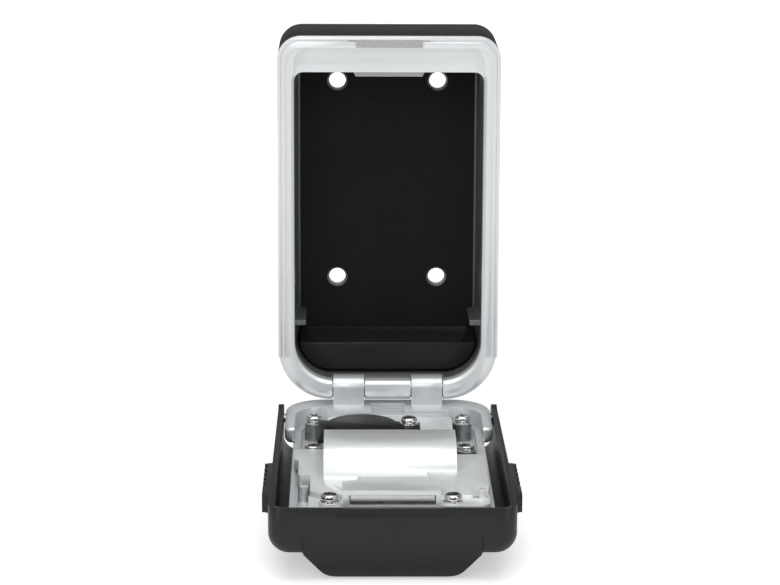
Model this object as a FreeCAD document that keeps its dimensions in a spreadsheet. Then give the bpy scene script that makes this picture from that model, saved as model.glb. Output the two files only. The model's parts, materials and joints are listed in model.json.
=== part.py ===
import FreeCAD, Part
import math
import os
import Sketcher
from FreeCAD import Placement, Rotation, Vector

# Everything is drawn from the hinge axis: X right, Y to the back, Z up, in millimetres.
# The door is drawn open, lying forward, so its length runs along -Y and its inner side faces up.
# One common Placement moves each piece to the row frame, whose origin is the middle of the
# mounting pattern on the back face.

DOC = FreeCAD.newDocument("KeyBox")
SHEET = DOC.addObject("Spreadsheet::Sheet", "dims")

TABLE = (
    ("width", 71.0, "outer width of the case and of the weather cover"),
    ("rim_top", 115.3, "hinge axis to the top edge of the case"),
    ("back_depth", 34.0, "hinge axis to the back face"),
    ("barrel_r", 4.0, "radius of the hinge barrels, also axis to front plane and to bottom"),
    ("ridge", 1.15, "height of the ridge around the mouth"),
    ("seal_gap", 0.1, "gap between the closed door and the ridge"),
    ("top_corner", 7.5, "outer radius of the upper corners"),
    ("bottom_corner", 17.0, "outer radius of the lower corners"),
    ("back_round", 7.1, "rounding of the back edges"),
    ("back_wall", 3.0, "thickness of the back wall"),
    ("side_wall", 5.2, "side wall at the mouth"),
    ("mouth_bevel", 0.9, "bevel of the mouth edges"),
    ("cavity_floor", 2.7, "hinge axis to the cavity floor at the mouth"),
    ("cavity_corner", 13.0, "lower corners of the cavity"),
    ("cavity_head", 11.7, "top edge down to the cavity"),
    ("head_corner", 3.0, "upper corners of the cavity"),
    ("draft", 1.5, "draft of the cavity walls, degrees"),
    ("ridge_foot", 11.0, "height at which the ridge ends"),
    ("rim_band", 3.6, "height of the upper rim"),
    ("ridge_wide", 2.4, "outer face to the inner edge of the ridge at the sides"),
    ("ridge_inset", 0.2, "ridge set in from the outer face"),
    ("groove_at", 1.0, "outer face to the seal groove"),
    ("groove_wide", 0.5, "width of the seal groove"),
    ("groove_deep", 0.5, "depth of the seal groove"),
    ("head_set", 2.6, "front plane back to the face above the cavity"),
    ("tab_wide", 12.0, "half width of the tab under the cavity roof"),
    ("tab_drop", 1.7, "drop of the tab under the cavity roof"),
    ("tab_slope", 1.4, "slope of the tab ends"),
    ("tab_set", 0.5, "axis back to the tab"),
    ("tab_thick", 1.5, "thickness of the tab"),
    ("jacket_wall", 1.6, "thickness of the jacket"),
    ("jacket_front", 1.8, "front plane back to the jacket"),
    ("jacket_long", 28.5, "depth of the jacket band"),
    ("jacket_foot", 16.0, "height at which the jacket starts"),
    ("fit", 0.05, "clearance of fixed pieces"),
    ("pattern_x", 33.0, "mounting holes across"),
    ("pattern_z", 66.0, "mounting holes up and down"),
    ("pattern_mid", 63.0, "hinge axis to the middle of the mounting pattern"),
    ("mount_hole_r", 2.75, "radius of the mounting holes"),
    ("liner_hole_r", 3.4, "radius of the holes in the liner"),
    ("liner_thick", 1.0, "thickness of the liner"),
    ("liner_gap", 1.2, "cavity roof down to the liner"),
    ("liner_corner", 10.0, "lower corners of the liner"),
    ("liner_top_corner", 4.0, "upper corners of the liner"),
    ("tray_half", 28.5, "half width of the tray"),
    ("tray_low", 4.5, "underside of the tray"),
    ("tray_high", 13.35, "lip of the tray"),
    ("tray_front", 6.0, "front face of the tray behind the axis"),
    ("tray_wall", 1.7, "wall of the tray"),
    ("tray_corner", 9.6, "lower corners of the tray"),
    ("shelf_top", 21.6, "top of the cast shelves"),
    ("shelf_thick", 1.7, "thickness of the cast shelves"),
    ("shelf_in", 26.7, "inner edge of the cast shelves"),
    ("shelf_front", 3.0, "front of the cast shelves"),
    ("shelf_rear", 21.0, "rear of the cast shelves"),
    ("strike_half", 10.5, "half width of the strike plate"),
    ("strike_thick", 0.55, "thickness of the strike plate"),
    ("slot_deep", 2.4, "depth of the latch slot into the upper rim"),
    ("pin_r", 1.1, "radius of the hinge pin"),
    ("pin_half", 23.5, "half length of the hinge pin"),
    ("pin_play", 0.04, "running clearance on the hinge pin"),
    ("mid_knuckle", 7.4, "half width of the middle knuckle of the case"),
    ("arm_out", 17.7, "outer end of a door knuckle"),
    ("knuckle_gap", 0.3, "end play and clearance around a door knuckle"),
    ("cover_wall", 1.8, "wall of the weather cover"),
    ("collar_gap", 0.7, "rear collar of the door to the weather cover"),
    ("side_gap", 3.5, "door side to the weather cover"),
    ("door_front", 2.7, "top edge down to the front end of the closed door"),
    ("door_rear", 4.4, "door edge behind the hinge axis"),
    ("door_corner", 13.0, "rear corners of the collar"),
    ("door_nose", 8.0, "front corners of the door"),
    ("door_round", 3.8, "rounding of the outer edges of the door"),
    ("door_out", 14.5, "axis plane to the outer face of the door"),
    ("door_floor", 1.5, "thickness of the door floor"),
    ("door_wall", 2.4, "side wall of the door"),
    ("door_back", 6.0, "hinge axis to the rear wall of the door tray"),
    ("tray_round", 10.0, "rear corners of the door tray"),
    ("collar_end", 31.0, "where the high rear collar ends"),
    ("collar_drop", 5.35, "step from the collar to the low side walls"),
    ("collar_wall", 3.2, "width of the collar"),
    ("collar_round", 1.2, "rounding of the collar"),
    ("collar_tip", 2.2, "rounding of the lower collar ends"),
    ("pad_in", 5.5, "inner edge of a hinge pad"),
    ("pad_out", 19.6, "outer edge of a hinge pad"),
    ("pad_long", 13.4, "front edge of a hinge pad"),
    ("rib_floor", 6.6, "axis plane down to the floor between the pads"),
    ("rib_high", 0.7, "height of the ribs between the pads"),
    ("rib_wide", 0.9, "width of the ribs between the pads"),
    ("rib_pitch", 2.8, "pitch of the ribs between the pads"),
    ("rib_first", 2.3, "hinge axis to the first rib"),
    ("rib_start", 1.2, "hinge axis to the low floor between the pads"),
    ("post_x", 23.7, "screw posts, half distance across"),
    ("post_v1", 17.0, "rear screw posts"),
    ("post_v2", 48.2, "front screw posts"),
    ("post_r", 3.0, "radius of a screw post"),
    ("post_top", 7.4, "axis plane down to the post tops"),
    ("stub_x", 26.0, "guide post left of the middle"),
    ("stub_v", 83.5, "hinge axis to the guide post"),
    ("stub_r", 1.5, "radius of the guide post"),
    ("stub_top", 8.5, "axis plane down to the guide post top"),
    ("screw_r", 1.3, "radius of a screw shank"),
    ("screw_long", 5.0, "length of a screw shank"),
    ("head_r", 2.65, "radius of a screw head"),
    ("head_high", 2.4, "height of a tall screw head"),
    ("low_head", 1.6, "height of a low screw head"),
    ("screw_fit", 0.02, "clearance of a screw in its hole"),
    ("wheel_r", 8.6, "radius of a number wheel"),
    ("wheel_wide", 5.2, "width of a number wheel"),
    ("wheel_pitch", 7.6, "pitch of the number wheels"),
    ("wheel_v", 72.6, "hinge axis to the wheel axle"),
    ("wheel_n", 8.5, "axis plane down to the wheel axle"),
    ("wheel_gap", 0.4, "clearance around the wheels"),
    ("dent_r", 1.2, "radius of the grips on a wheel"),
    ("dent_rim", 0.8, "plain rim beside the grips on a wheel"),
    ("axle_r", 1.5, "radius of the wheel axle"),
    ("axle_half", 19.2, "half length of the wheel axle"),
    ("axle_play", 0.05, "running clearance on the axle"),
    ("cam_r", 5.8, "radius of a code cam"),
    ("cam_wide", 1.6, "width of a code cam"),
    ("cam_notch", 1.2, "half width of the notch in a code cam"),
    ("block_left", 20.2, "left end of the wheel housing"),
    ("block_right", 19.6, "right end of the wheel housing"),
    ("block_rear", 61.9, "rear wall of the wheel housing"),
    ("block_front", 83.4, "front of the wheel housing"),
    ("block_top", 2.95, "top of the wheel housing"),
    ("block_round", 12.0, "rounding of the wheel housing"),
    ("block_half", 16.0, "half width of the wheel space"),
    ("plate_n", 6.4, "axis plane down to the rear plate"),
    ("plate_thick", 1.5, "thickness of the rear plate"),
    ("plate_step", 0.6, "rear plate past the right hinge pad"),
    ("under_n", 9.5, "underside of the wings and ledges"),
    ("wing_n", 6.2, "axis plane down to the left wing"),
    ("wing_out", 29.3, "outer edge of the left wing"),
    ("wing_in", 27.8, "outer edge of the left wing past its step"),
    ("wing_rear", 51.5, "rear edge of the left wing"),
    ("wing_step", 62.6, "step in the left wing"),
    ("wing_front", 79.2, "front edge of the left wing"),
    ("right_n", 4.2, "axis plane down to the right plate"),
    ("right_out", 28.5, "outer edge of the right plate"),
    ("right_rear", 64.2, "rear edge of the right plate"),
    ("right_front", 98.5, "front edge of the right plate"),
    ("right_in", 10.7, "inner edge of the right plate"),
    ("right_start", 80.5, "rear edge of the inner part of the right plate"),
    ("low_left", 24.1, "left edge of the middle plate"),
    ("low_corner", 95.4, "where the middle plate's left edge turns"),
    ("low_front", 99.9, "front edge of the middle plate"),
    ("low_slope", 19.4, "where the middle plate's slope ends"),
    ("ledge_n", 6.6, "axis plane down to the right ledge"),
    ("ledge_rear", 97.9, "rear edge of the right ledge"),
    ("rough_n", 8.0, "axis plane down to the left ledge"),
    ("rough_left", 24.5, "outer edge of the left ledge"),
    ("rough_rear", 94.4, "rear edge of the left ledge"),
    ("latch_left", 14.6, "left side of the latch housing"),
    ("latch_right", 14.0, "right side of the latch housing"),
    ("latch_long", 14.2, "length of the latch housing"),
    ("latch_step", 4.1, "length of the set-in rear part of the latch housing"),
    ("latch_narrow", 10.2, "half width of the rear part of the latch housing"),
    ("latch_set", 5.8, "top edge down to the latch housing"),
    ("latch_top", 1.9, "axis plane down to the top of the latch housing"),
    ("window_low", 6.4, "axis plane down to the lower edge of the bolt window"),
    ("window_lip", 2.0, "depth of the bolt window"),
    ("bolt_low", 5.0, "axis plane down to the underside of the bolt"),
    ("bolt_thick", 1.6, "thickness of the bolt"),
    ("bolt_half", 12.2, "half width of the bolt"),
    ("bolt_set", 0.2, "bolt end behind the latch housing front"),
    ("bolt_side", 0.3, "clearance beside the bolt"),
    ("bolt_play", 0.1, "clearance above and below the bolt"),
    ("bolt_long", 8.3, "length of the bolt"),
    ("stem_half", 2.6, "half width of the bolt stem"),
    ("stem_long", 2.4, "length of the bolt stem"),
    ("stem_gap", 0.4, "clearance around the bolt stem"),
    ("travel", 4.0, "travel of the bolt"),
    ("slide_gap", 0.2, "door to the release lever"),
    ("lever_half", 9.0, "half width of the release lever"),
    ("lever_long", 11.0, "length of the release lever"),
    ("lever_thick", 1.9, "thickness of the release lever"),
    ("lever_grip", 1.0, "height of the grip on the release lever"),
    ("front_v", 4.8, "latch housing front to the front screws"),
    ("front_left", 18.2, "left front screw"),
    ("front_right", 17.6, "right front screw"),
    ("front_boss", 3.3, "radius of the front screw seats"),
    ("cell_x", 8.5, "battery centre left of the middle"),
    ("cell_v", 25.8, "hinge axis to the battery centre"),
    ("cell_r", 10.0, "radius of the coin cell"),
    ("cell_high", 3.2, "height of the coin cell"),
    ("cell_up", 1.6, "door floor up to the coin cell"),
    ("clip_half", 8.0, "half width of the battery clip"),
    ("clip_deep", 5.0, "depth of the battery clip"),
    ("clip_thick", 0.4, "sheet thickness of the clip and the detent spring"),
    ("lid_r", 11.0, "radius of the battery cover"),
    ("lid_thick", 1.2, "thickness of the battery cover"),
    ("lid_deep", 1.7, "depth of the plug under the battery cover"),
    ("lid_screw_x", 6.5, "battery cover screw right of the middle"),
    ("foot_out", 9.9, "right end of the battery cover"),
    ("lid_tab_out", 22.4, "left edge of the battery cover tab"),
    ("lid_tab_rear", 22.2, "rear edge of the battery cover tab"),
    ("lid_tab_end", 44.8, "front end of the battery cover tab"),
    ("bezel_half", 18.5, "half width of the dial bezel"),
    ("bezel_rear", 41.0, "rear edge of the dial bezel"),
    ("bezel_front", 86.0, "front edge of the dial bezel"),
    ("bezel_thick", 1.7, "thickness of the dial bezel"),
    ("bezel_corner", 3.0, "corners of the dial bezel"),
    ("window_half", 6.7, "half length of a number window"),
    ("lens_half", 12.0, "half width of the light lens"),
    ("lens_v", 54.5, "hinge axis to the light lens"),
    ("lens_wide", 2.6, "width of the light lens"),
    ("lens_out", 0.3, "light lens out of the bezel"),
    ("board_half", 15.0, "half width of the light board"),
    ("board_wide", 9.0, "width of the light board"),
    ("board_thick", 1.2, "thickness of the light board"),
    ("button_v", 46.0, "hinge axis to the light button"),
    ("button_r", 2.8, "radius of the light button"),
    ("button_out", 0.8, "light button out of the bezel"),
    ("button_gap", 0.2, "clearance around the light button"),
    ("reset_x", 25.4, "left side of the reset lever"),
    ("reset_wide", 2.2, "width of the reset lever"),
    ("reset_travel", 1.6, "travel of the reset lever"),
    ("pivot_v", 3.3, "hinge axis to the weather cover pivot"),
    ("pivot_n", 9.9, "axis plane down to the weather cover pivot"),
    ("pivot_r", 1.5, "radius of a cover pin"),
    ("pivot_boss", 0.8, "wall around a cover pin"),
    ("pin_deep", 4.0, "depth of a cover pin in the door"),
    ("arm_r", 4.7, "end radius of a cover arm"),
    ("cover_out", 20.5, "axis plane to the outer face of the weather cover"),
    ("cover_rear", 8.5, "rear edge of the cover panel"),
    ("cover_end", 0.3, "top edge down to the free end of the cover"),
    ("cover_lip", 0.5, "door collar down to the lip of the cover"),
    ("cover_flare", 0.5, "cover wider at its free end, each side"),
    ("cover_nose", 5.0, "front corners of the cover"),
    ("cover_round", 6.5, "rounding of the lower edges of the cover"),
    ("bulge_half", 26.2, "half width of the bulge at its crease"),
    ("bulge_foot", 25.8, "half width of the bulge at the cover panel"),
    ("bulge_flat", 18.4, "half width of the bulge bottom"),
    ("bulge_low", 29.1, "axis plane to the bottom of the bulge"),
    ("bulge_start", 12.7, "axis plane to the crease of the bulge"),
    ("bulge_rear", 30.0, "rear end of the bulge"),
    ("bulge_slope", 6.5, "run of the sloped ends of the bulge"),
    ("bulge_round", 7.0, "rounding of the lower edges of the bulge"),
    ("bulge_end", 5.0, "rounding of the bulge ends"),
    ("bulge_blend", 6.0, "hollow rounding between bulge and panel"),
    ("blend_out", 28.6, "where the hollow rounding meets the panel"),
    ("recess_half", 16.3, "half width of the recess in the cover front"),
    ("recess_low", 8.0, "axis plane down to the recess edge"),
    ("recess_deep", 0.4, "depth of the recess in the cover front"),
    ("grip_out", 1.1, "grip pad out of the cover side"),
    ("grip_rib", 0.9, "grip rib out of the grip pad"),
    ("grip_rear", 68.0, "rear end of the grip"),
    ("grip_pitch", 4.5, "pitch of the grip ribs"),
    ("grip_wide", 2.2, "width of a grip rib"),
    ("grip_block", 91.6, "rear end of the grip block"),
    ("grip_end", 101.0, "front end of the grip"),
    ("grip_low", 11.2, "axis plane down to the underside of the grip"),
)


class Size:
    """A number together with the spreadsheet expression that gives it."""

    def __init__(self, value, text):
        self.value = float(value)
        self.text = text

    def __add__(self, other):
        other = size(other)
        return Size(self.value + other.value, "(%s + %s)" % (self.text, other.text))

    def __sub__(self, other):
        other = size(other)
        return Size(self.value - other.value, "(%s - %s)" % (self.text, other.text))

    def __mul__(self, factor):
        return Size(self.value * factor, "(%s * %.9g)" % (self.text, factor))

    def __truediv__(self, factor):
        return Size(self.value / factor, "(%s / %.9g)" % (self.text, factor))

    def __radd__(self, other):
        return size(other) + self

    def __rsub__(self, other):
        return size(other) - self

    def __neg__(self):
        return Size(-self.value, "(0 - %s)" % self.text)


def size(number):
    return number if isinstance(number, Size) else Size(number, "%.9g" % number)


class Sizes:
    pass


d = Sizes()
for row, (alias, number, note) in enumerate(TABLE, 1):
    SHEET.set("A%d" % row, note)
    SHEET.set("B%d" % row, "%.9g" % number)
    SHEET.setAlias("B%d" % row, alias)
    setattr(d, alias, Size(number, "dims.%s" % alias))
DOC.recompute()

NODES = {}


def bind(thing, name, amount):
    thing.setExpression(name, size(amount).text)


def finish_node(thing, label):
    """Give an object its node name and move it to the row frame."""
    if thing.TypeId in ("Part::Box", "Part::Cylinder"):
        thing = bundle(thing)
    thing.Label = label
    bind(thing, ".Placement.Base.y", -d.back_depth)
    bind(thing, ".Placement.Base.z", -d.pattern_mid)
    NODES[label] = thing
    return thing


def rect(x0, y0, x1, y1, corners=(0, 0, 0, 0)):
    """Corner points of a rectangle, from lower left round to upper left."""
    points = ((x0, y0), (x1, y0), (x1, y1), (x0, y1))
    return [(x, y, r) for (x, y), r in zip(points, corners)]


def disc(x, y, r):
    return ("disc", x, y, r)


def both(loop):
    """A loop and its mirror image in X."""
    if loop[0] == "disc":
        return [loop, disc(-loop[1], loop[2], loop[3])]
    return [loop, [(-x, y, r) for x, y, r in loop]]


def hold_point(sketch, item, which, x, y):
    for kind, amount in (("DistanceX", size(x)), ("DistanceY", size(y))):
        rule = Sketcher.Constraint(kind, -1, 1, item, which, amount.value)
        place = sketch.addConstraint(rule)
        sketch.setExpression("Constraints[%d]" % place, amount.text)


def hold_radius(sketch, item, r):
    place = sketch.addConstraint(Sketcher.Constraint("Radius", item, size(r).value))
    sketch.setExpression("Constraints[%d]" % place, size(r).text)


def add_disc(sketch, x, y, r):
    centre = Vector(size(x).value, size(y).value, 0)
    item = sketch.addGeometry(Part.Circle(centre, Vector(0, 0, 1), size(r).value), False)
    hold_radius(sketch, item, r)
    hold_point(sketch, item, 3, x, y)


def corner_arc(before, corner, after, r):
    """Tangent points and arc of a rounded corner."""
    back = (before - corner).normalize()
    ahead = (after - corner).normalize()
    half = back.getAngle(ahead) / 2
    reach = r / math.tan(half)
    centre = corner + (back + ahead).normalize() * (r / math.sin(half))
    start = corner + back * reach
    end = corner + ahead * reach
    turn = (corner - before).cross(after - corner).z
    first, last = (start, end) if turn > 0 else (end, start)
    a0 = math.atan2(first.y - centre.y, first.x - centre.x)
    a1 = math.atan2(last.y - centre.y, last.x - centre.x)
    if a1 < a0:
        a1 += 2 * math.pi
    arc = Part.ArcOfCircle(Part.Circle(centre, Vector(0, 0, 1), r), a0, a1)
    return start, end, arc, turn > 0


def add_polygon(sketch, points):
    """Closed outline with rounded corners, held by bound distances and radii."""
    count = len(points)
    flat = [Vector(size(x).value, size(y).value, 0) for x, y, r in points]
    ends = []
    for i, (x, y, r) in enumerate(points):
        if size(r).value > 0:
            ends.append(corner_arc(flat[i - 1], flat[i], flat[(i + 1) % count], size(r).value))
        else:
            ends.append((flat[i], flat[i], None, True))
    lines = []
    for i in range(count):
        segment = Part.LineSegment(ends[i][1], ends[(i + 1) % count][0])
        lines.append(sketch.addGeometry(segment, False))
    for i, (x, y, r) in enumerate(points):
        into, out = lines[i - 1], lines[i]
        arc, leftward = ends[i][2:]
        if arc is None:
            sketch.addConstraint(Sketcher.Constraint("Coincident", into, 2, out, 1))
            hold_point(sketch, out, 1, x, y)
            continue
        bend = sketch.addGeometry(arc, False)
        near, far = (1, 2) if leftward else (2, 1)
        sketch.addConstraint(Sketcher.Constraint("Tangent", into, 2, bend, near))
        sketch.addConstraint(Sketcher.Constraint("Tangent", bend, far, out, 1))
        hold_radius(sketch, bend, r)
        tip = sketch.addGeometry(Part.Point(flat[i]), True)
        hold_point(sketch, tip, 1, x, y)
        sketch.addConstraint(Sketcher.Constraint("PointOnObject", tip, 1, into))
        sketch.addConstraint(Sketcher.Constraint("PointOnObject", tip, 1, out))


class Form:
    """A PartDesign body; pads and cuts run between two positions on the normal of a plane."""

    def __init__(self, name):
        self.body = DOC.addObject("PartDesign::Body", name)
        self.name = name
        self.tip = None
        self.count = 0

    def new(self, kind):
        self.count += 1
        return self.body.newObject(kind, "%s_%d" % (self.name, self.count))

    def sketch(self, plane, position, loops):
        drawn = self.new("Sketcher::SketchObject")
        support = [o for o in self.body.Origin.OriginFeatures if o.Role == plane + "_Plane"][0]
        drawn.AttachmentSupport = [(support, "")]
        drawn.MapMode = "FlatFace"
        bind(drawn, ".AttachmentOffset.Base.z", position)
        for loop in loops:
            if loop[0] == "disc":
                add_disc(drawn, *loop[1:])
            else:
                add_polygon(drawn, loop)
        drawn.recompute()
        return drawn

    def extrude(self, kind, plane, low, high, loops):
        low, high = size(low), size(high)
        position = -high if plane == "XZ" else low
        profile = self.sketch(plane, position, loops)
        feature = self.new(kind)
        feature.Profile = profile
        bind(feature, "Length", high - low)
        self.tip = feature
        return feature

    def pad(self, plane, low, high, *loops):
        self.extrude("PartDesign::Pad", plane, low, high, loops)
        DOC.recompute()

    def cut(self, plane, low, high, *loops):
        self.extrude("PartDesign::Pocket", plane, low, high, loops).Reversed = True
        DOC.recompute()

    def fillet(self, chosen, radius):
        shape = self.tip.Shape
        names = ["Edge%d" % (i + 1) for i, edge in enumerate(shape.Edges) if chosen(edge)]
        feature = self.new("PartDesign::Fillet")
        feature.Base = (self.tip, names)
        bind(feature, "Radius", radius)
        self.tip = feature
        DOC.recompute()

    def node(self):
        return finish_node(self.body, self.name)


def edge_on(axis, position):
    """Chooses the edges that lie in a plane across an axis."""
    value = size(position).value
    return lambda edge: all(abs(getattr(v, axis) - value) < 1e-4 for v in edge.Vertexes)


def box(x0, x1, y0, y1, z0, z1):
    made = DOC.addObject("Part::Box", "box")
    for name, low, high in (("Length", x0, x1), ("Width", y0, y1), ("Height", z0, z1)):
        bind(made, name, size(high) - low)
    for name, low in (("x", x0), ("y", y0), ("z", z0)):
        bind(made, ".Placement.Base." + name, low)
    return made


def door_box(x0, x1, v0, v1, n0, n1):
    """Box in door coordinates: v along the door, n up from its outer side."""
    return box(x0, x1, -size(v1), -size(v0), n0, n1)


TURNS = {
    "X": Rotation(Vector(0, 1, 0), 90),
    "Z": Rotation(),
}


def rod(axis, x, y, z, r, length):
    """Cylinder that starts at a point and runs along +X or +Z."""
    made = DOC.addObject("Part::Cylinder", "rod")
    made.Placement = Placement(Vector(), TURNS[axis])
    bind(made, "Radius", r)
    bind(made, "Height", length)
    for name, low in (("x", x), ("y", y), ("z", z)):
        bind(made, ".Placement.Base." + name, low)
    return made


def join(*things):
    made = DOC.addObject("Part::MultiFuse", "join")
    made.Shapes = list(things)
    return made


def minus(base, *tools):
    made = DOC.addObject("Part::Cut", "cut")
    made.Base = base
    made.Tool = tools[0] if len(tools) == 1 else join(*tools)
    return made


def bundle(*things):
    """Separate solids kept in one node."""
    made = DOC.addObject("Part::Compound", "bundle")
    made.Links = list(things)
    return made


# Shared positions
half = d.width / 2
ridge_front = d.barrel_r + d.ridge
rim = ridge_front + d.seal_gap
rim_inner = d.rim_top - d.rim_band
roof = d.rim_top - d.cavity_head
door_half = half - d.cover_wall - d.side_gap
collar_half = half - d.cover_wall - d.collar_gap
door_end = d.rim_top - d.door_front
door_inner = door_half - d.door_wall
floor_top = d.door_out - d.door_floor
low_wall = rim + d.collar_drop
latch_front = d.rim_top - d.latch_set
latch_rear = latch_front - d.latch_long
latch_turn = latch_rear + d.latch_step
cover_front = d.rim_top - d.cover_end
cover_top = rim + d.cover_lip
bolt_top = d.bolt_low - d.bolt_thick
slot_front = d.bolt_low + d.fit
inner_back = d.back_depth - d.back_wall


def arch(out, low, inset, radius):
    """Outline points of one side of an arch that follows the case, from its left foot."""
    side = half - out
    crest = d.rim_top - inset
    return [(-side, low, 0), (-side, crest, radius), (side, crest, radius), (side, low, 0)]


def arch_band(low, outer, inner, outer_r, inner_r):
    """Upside-down U between two offsets from the outer outline of the case."""
    outside = arch(outer, low, outer, outer_r)
    inside = arch(inner, low, inner, inner_r)
    return outside + inside[::-1]


# Case
case = Form("body_casting")
front_plane = -d.barrel_r
case.pad("XZ", front_plane, d.back_depth, rect(
    -half, -d.barrel_r, half, d.rim_top,
    (d.bottom_corner, d.bottom_corner, d.top_corner, d.top_corner)))
case.fillet(edge_on("Y", d.back_depth), d.back_round)
case.fillet(edge_on("Y", front_plane), d.barrel_r - 0.01)
land = d.barrel_r + 0.1
case.pad("XZ", front_plane, 0.0, arch_band(
    d.ridge_foot, size(0.0), land, d.top_corner, d.top_corner - land))
ridge_outline = (
    arch(d.ridge_inset, d.ridge_foot, d.ridge_inset, d.top_corner - d.ridge_inset)
    + arch(d.ridge_wide, d.ridge_foot, d.rim_band, d.top_corner - d.ridge_wide)[::-1])
case.pad("XZ", -ridge_front, front_plane, ridge_outline)
groove_in = d.groove_at + d.groove_wide
case.cut("XZ", -ridge_front - 0.1, -ridge_front + d.groove_deep, arch_band(
    d.ridge_foot - 0.1, d.groove_at, groove_in, d.top_corner - d.groove_at, d.top_corner - groove_in))
mouth = half - d.side_wall


def sunk(grow, depth, angle):
    """Tapered pocket into the front face, its outline grown from the mouth."""
    outline = rect(-mouth - grow, d.cavity_floor - grow, mouth + grow, roof + grow, (
        d.cavity_corner + grow, d.cavity_corner + grow, d.head_corner + grow, d.head_corner + grow))
    drawn = case.sketch("XZ", d.barrel_r, [outline])
    pocket = case.new("PartDesign::Pocket")
    pocket.Profile = drawn
    bind(pocket, "Length", depth)
    bind(pocket, "TaperAngle", -size(angle))
    case.tip = pocket


sunk(size(0.0), d.barrel_r + inner_back, d.draft)
sunk(d.mouth_bevel, d.mouth_bevel, 45.0)
head_r = d.top_corner - d.ridge_wide
case.cut("XZ", front_plane - 0.1, front_plane + d.head_set, rect(
    -mouth, roof - d.head_corner - d.mouth_bevel, mouth, rim_inner, (0, 0, head_r, head_r)))
tab_low = roof - d.tab_drop
tab_foot = d.tab_wide - d.tab_slope
case.pad("XZ", d.tab_set, d.tab_set + d.tab_thick, [
    (-tab_foot, tab_low, 0), (tab_foot, tab_low, 0),
    (d.tab_wide, roof + 1.0, 0), (-d.tab_wide, roof + 1.0, 0)])
case.pad("XZ", d.shelf_front, d.shelf_rear, *both(rect(
    d.shelf_in, d.shelf_top - d.shelf_thick, mouth + 1.0, d.shelf_top)))
slot_half = d.bolt_half + 0.7
case.cut("XZ", -slot_front, -bolt_top + d.bolt_play, rect(
    -slot_half, rim_inner - 0.5, slot_half, rim_inner + d.slot_deep))
strike_gap = d.strike_half + d.fit
strike_low = rim_inner + 0.2
strike_high = rim_inner + d.slot_deep + 0.15
case.cut("XZ", -ridge_front - 0.1, -slot_front, rect(
    -strike_gap, rim_inner - 0.5, strike_gap, strike_high + d.fit))
jacket_y0 = front_plane + d.jacket_front
jacket_y1 = jacket_y0 + d.jacket_long
jacket_in = d.jacket_wall + d.fit
case.cut("XZ", jacket_y0 - d.fit, jacket_y1 + d.fit, [
    (-half - 2.0, d.jacket_foot - d.fit, 0), (-half - 2.0, d.rim_top + 2.0, 0),
    (half + 2.0, d.rim_top + 2.0, 0), (half + 2.0, d.jacket_foot - d.fit, 0),
] + arch(jacket_in, d.jacket_foot - d.fit, jacket_in, d.top_corner - jacket_in)[::-1])
pattern_low = d.pattern_mid - d.pattern_z / 2
pattern_high = d.pattern_mid + d.pattern_z / 2
pattern = [(sx, z) for z in (pattern_low, pattern_high) for sx in (d.pattern_x / 2, -d.pattern_x / 2)]
case.cut("XZ", inner_back - 1.0, d.back_depth + 1.0,
         *[disc(x, z, d.mount_hole_r) for x, z in pattern])
pocket_out = d.arm_out + d.knuckle_gap
pocket_r = d.barrel_r + d.knuckle_gap
case.cut("XZ", front_plane - 1.0, 0.0, *both(rect(
    d.mid_knuckle, -d.barrel_r - 1.0, pocket_out, pocket_r + 0.1)))
for low, high in ((d.mid_knuckle, pocket_out), (-pocket_out, -d.mid_knuckle)):
    case.cut("YZ", low, high, disc(0.0, 0.0, pocket_r))
case.cut("YZ", -d.pin_half - 0.5, d.pin_half + 0.5, disc(0.0, 0.0, d.pin_r + d.pin_play))
case.node()

jacket = Form("body_jacket")
jacket.pad("XZ", jacket_y0, jacket_y1, arch_band(
    d.jacket_foot, size(0.0), d.jacket_wall, d.top_corner, d.top_corner - d.jacket_wall))
jacket.node()

liner = Form("back_liner")
liner_half = d.tray_half + 0.1
liner.pad("XZ", inner_back - d.liner_thick, inner_back, rect(
    -liner_half, d.tray_low - 0.2, liner_half, roof - d.liner_gap,
    (d.liner_corner, d.liner_corner, d.liner_top_corner, d.liner_top_corner)))
liner.cut("XZ", inner_back - d.liner_thick - 0.5, inner_back + 0.5,
          *[disc(x, z, d.liner_hole_r) for x, z in pattern])
liner.node()

tray = Form("key_tray")
tray_back = inner_back - d.liner_thick
tray.pad("XZ", d.tray_front, tray_back, rect(
    -d.tray_half, d.tray_low, d.tray_half, d.tray_high, (d.tray_corner, d.tray_corner, 0, 0)))
tray_in = d.tray_half - d.tray_wall
tray_r = d.tray_corner - d.tray_wall
tray.cut("XZ", d.tray_front + d.tray_wall, tray_back - d.tray_wall, rect(
    -tray_in, d.tray_low + d.tray_wall, tray_in, d.tray_high + 1.0, (tray_r, tray_r, 0, 0)))
tray.node()

strike = box(-d.strike_half, d.strike_half, -slot_front - d.strike_thick, -slot_front,
             strike_low, strike_high)
finish_node(strike, "strike_plate")
finish_node(rod("X", -d.pin_half, 0.0, 0.0, d.pin_r, d.pin_half * 2), "hinge_pin")

# Door
door = Form("door_casting")
door.pad("XY", -low_wall, -rim, rect(
    -collar_half, -d.collar_end, collar_half, d.door_rear,
    (d.collar_tip, d.collar_tip, d.door_corner, d.door_corner)))
door.fillet(edge_on("Z", -rim), d.collar_round)
door.fillet(edge_on("Z", -low_wall), d.collar_tip)
door.pad("XY", -d.door_out, -low_wall, rect(
    -door_half, -door_end, door_half, d.door_rear,
    (d.door_nose, d.door_nose, d.tray_round, d.tray_round)))
door.fillet(edge_on("Z", -d.door_out), d.door_round)
door.pad("XY", -low_wall, -low_wall + d.collar_tip + 0.1, rect(
    -door_half, -d.collar_end + d.collar_tip, door_half, d.door_rear, (0, 0, d.tray_round, d.tray_round)))
nose_in = d.door_nose - d.door_wall
back_in = d.tray_round
door.cut("XY", -floor_top, -low_wall + 1.0, rect(
    -door_inner, -door_end + d.door_wall, door_inner, -d.door_back, (nose_in, nose_in, back_in, back_in)))
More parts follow.
